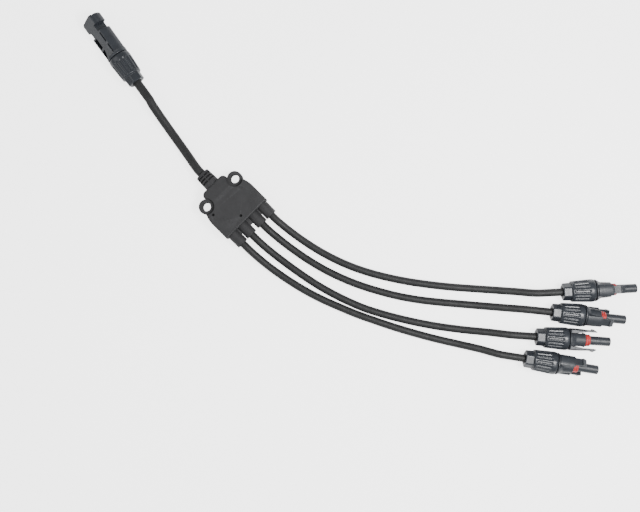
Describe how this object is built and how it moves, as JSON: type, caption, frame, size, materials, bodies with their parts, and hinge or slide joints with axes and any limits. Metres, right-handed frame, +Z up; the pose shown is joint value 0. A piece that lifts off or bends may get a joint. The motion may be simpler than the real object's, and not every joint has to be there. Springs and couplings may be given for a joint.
{
  "type": "solar branch cable",
  "caption": "Branch cable for solar panels: one input lead with a slotted connector splits in a flat screw-down hub into several output leads with nosed, latching connectors.",
  "frame": {"origin": "middle of the hub's underside, counted over the hub's full length with strain relief and sleeves, on the surface that the cable lies on", "axes": "+X from the input lead towards the output leads, +Y to the left of that, +Z up"},
  "size_m": [0.475, 0.2, 0.0184],
  "materials": {
    "hub_plastic": "matte, finely grained",
    "connector_plastic": "satin",
    "nut_plastic": "satin",
    "clamp_plastic": "satin",
    "cable_jacket": "matte, finely textured",
    "copper_strand": "bright copper strands",
    "tinned_copper": "tin plated, smooth",
    "spring_copper": "bright",
    "black_rubber": "matte",
    "red_silicone": "satin"
  },
  "bodies": {
    "harness": {"hub_body": "hub_plastic", "splice_bar": "tinned_copper", "lead_in_jacket": "cable_jacket", "lead_in_conductor": "copper_strand", "lead_1_jacket": "cable_jacket", "lead_1_conductor": "copper_strand", "lead_2_jacket": "cable_jacket", "lead_2_conductor": "copper_strand", "lead_3_jacket": "cable_jacket", "lead_3_conductor": "copper_strand", "lead_4_jacket": "cable_jacket", "lead_4_conductor": "copper_strand", "inlet_housing": "connector_plastic", "inlet_pin": "tinned_copper", "out_1_housing": "connector_plastic", "out_1_nose_tube": "connector_plastic", "out_1_socket": "tinned_copper", "out_1_contact_band": "spring_copper", "out_1_nose_seal": "red_silicone", "out_2_housing": "connector_plastic", "out_2_nose_tube": "connector_plastic", "out_2_socket": "tinned_copper", "out_2_contact_band": "spring_copper", "out_2_nose_seal": "red_silicone", "out_3_housing": "connector_plastic", "out_3_nose_tube": "connector_plastic", "out_3_socket": "tinned_copper", "out_3_contact_band": "spring_copper", "out_3_nose_seal": "red_silicone", "out_4_housing": "connector_plastic", "out_4_nose_tube": "connector_plastic", "out_4_socket": "tinned_copper", "out_4_contact_band": "spring_copper", "out_4_nose_seal": "red_silicone"},
    "inlet_gland": {"inlet_cable_seal": "black_rubber", "inlet_clamp": "clamp_plastic"},
    "inlet_cap": {"inlet_nut": "nut_plastic"},
    "out_1_gland": {"out_1_cable_seal": "black_rubber", "out_1_clamp": "clamp_plastic"},
    "out_1_cap": {"out_1_nut": "nut_plastic"},
    "out_2_gland": {"out_2_cable_seal": "black_rubber", "out_2_clamp": "clamp_plastic"},
    "out_2_cap": {"out_2_nut": "nut_plastic"},
    "out_3_gland": {"out_3_cable_seal": "black_rubber", "out_3_clamp": "clamp_plastic"},
    "out_3_cap": {"out_3_nut": "nut_plastic"},
    "out_4_gland": {"out_4_cable_seal": "black_rubber", "out_4_clamp": "clamp_plastic"},
    "out_4_cap": {"out_4_nut": "nut_plastic"},
    "out_1_latch_left": {"out_1_latch_left": "connector_plastic"},
    "out_1_latch_right": {"out_1_latch_right": "connector_plastic"},
    "out_2_latch_left": {"out_2_latch_left": "connector_plastic"},
    "out_2_latch_right": {"out_2_latch_right": "connector_plastic"},
    "out_3_latch_left": {"out_3_latch_left": "connector_plastic"},
    "out_3_latch_right": {"out_3_latch_right": "connector_plastic"},
    "out_4_latch_left": {"out_4_latch_left": "connector_plastic"},
    "out_4_latch_right": {"out_4_latch_right": "connector_plastic"}
  },
  "joints": [
    {"name": "inlet_gland_slide", "type": "slide", "parent": "harness", "child": "inlet_gland", "axis": [0.9877, -0.1564, 0], "range_m": [0, 0.006]},
    {"name": "inlet_cap_turn", "type": "hinge", "parent": "inlet_gland", "child": "inlet_cap", "pos_m": [-0.12805, 0.01658, 0.009], "axis": [0.9877, -0.1564, 0], "range_deg": [0, 1440]},
    {"name": "out_1_gland_slide", "type": "slide", "parent": "harness", "child": "out_1_gland", "axis": [-0.6691, -0.7431, 0], "range_m": [0, 0.006]},
    {"name": "out_1_cap_turn", "type": "hinge", "parent": "out_1_gland", "child": "out_1_cap", "pos_m": [0.24083, 0.14222, 0.009], "axis": [-0.6691, -0.7431, 0], "range_deg": [0, 1440]},
    {"name": "out_2_gland_slide", "type": "slide", "parent": "harness", "child": "out_2_gland", "axis": [-0.7771, -0.6293, 0], "range_m": [0, 0.006]},
    {"name": "out_2_cap_turn", "type": "hinge", "parent": "out_2_gland", "child": "out_2_cap", "pos_m": [0.24723, 0.12385, 0.009], "axis": [-0.7771, -0.6293, 0], "range_deg": [0, 1440]},
    {"name": "out_3_gland_slide", "type": "slide", "parent": "harness", "child": "out_3_gland", "axis": [-0.7547, -0.6561, 0], "range_m": [0, 0.006]},
    {"name": "out_3_cap_turn", "type": "hinge", "parent": "out_3_gland", "child": "out_3_cap", "pos_m": [0.25186, 0.10207, 0.009], "axis": [-0.7547, -0.6561, 0], "range_deg": [0, 1440]},
    {"name": "out_4_gland_slide", "type": "slide", "parent": "harness", "child": "out_4_gland", "axis": [-0.809, -0.5878, 0], "range_m": [0, 0.006]},
    {"name": "out_4_cap_turn", "type": "hinge", "parent": "out_4_gland", "child": "out_4_cap", "pos_m": [0.25821, 0.08305, 0.009], "axis": [-0.809, -0.5878, 0], "range_deg": [0, 1440]},
    {"name": "out_1_left_squeeze", "type": "hinge", "parent": "harness", "child": "out_1_latch_left", "pos_m": [0.2512, 0.15374, 0.0164], "axis": [-0.7431, 0.6691, 0], "range_deg": [0, 4.5], "stiffness_Nm_per_rad": 0.1},
    {"name": "out_1_right_squeeze", "type": "hinge", "parent": "harness", "child": "out_1_latch_right", "pos_m": [0.2512, 0.15374, 0.0016], "axis": [0.7431, -0.6691, 0], "range_deg": [0, 4.5], "stiffness_Nm_per_rad": 0.1},
    {"name": "out_2_left_squeeze", "type": "hinge", "parent": "harness", "child": "out_2_latch_left", "pos_m": [0.25709, 0.13631, 0.00247], "axis": [0.5557, -0.6862, -0.4695], "range_deg": [0, 4.5], "stiffness_Nm_per_rad": 0.1},
    {"name": "out_2_right_squeeze", "type": "hinge", "parent": "harness", "child": "out_2_latch_right", "pos_m": [0.26146, 0.13091, 0.01553], "axis": [-0.5557, 0.6862, 0.4695], "range_deg": [0, 4.5], "stiffness_Nm_per_rad": 0.1},
    {"name": "out_3_left_squeeze", "type": "hinge", "parent": "harness", "child": "out_3_latch_left", "pos_m": [0.2587, 0.11783, 0.009], "axis": [0, 0, -1], "range_deg": [0, 4.5], "stiffness_Nm_per_rad": 0.1},
    {"name": "out_3_right_squeeze", "type": "hinge", "parent": "harness", "child": "out_3_latch_right", "pos_m": [0.26841, 0.10666, 0.009], "axis": [0, 0, 1], "range_deg": [0, 4.5], "stiffness_Nm_per_rad": 0.1},
    {"name": "out_4_left_squeeze", "type": "hinge", "parent": "harness", "child": "out_4_latch_left", "pos_m": [0.26819, 0.09568, 0.01499], "axis": [-0.4755, 0.6545, -0.5878], "range_deg": [0, 4.5], "stiffness_Nm_per_rad": 0.1},
    {"name": "out_4_right_squeeze", "type": "hinge", "parent": "harness", "child": "out_4_latch_right", "pos_m": [0.27331, 0.08865, 0.00301], "axis": [0.4755, -0.6545, 0.5878], "range_deg": [0, 4.5], "stiffness_Nm_per_rad": 0.1}
  ],
  "couplings": [
    {"joint": "inlet_cap_turn", "follows": "inlet_gland_slide", "rad_per_m": 4188.8},
    {"joint": "out_1_cap_turn", "follows": "out_1_gland_slide", "rad_per_m": 4188.8},
    {"joint": "out_2_cap_turn", "follows": "out_2_gland_slide", "rad_per_m": 4188.8},
    {"joint": "out_3_cap_turn", "follows": "out_3_gland_slide", "rad_per_m": 4188.8},
    {"joint": "out_4_cap_turn", "follows": "out_4_gland_slide", "rad_per_m": 4188.8}
  ]
}
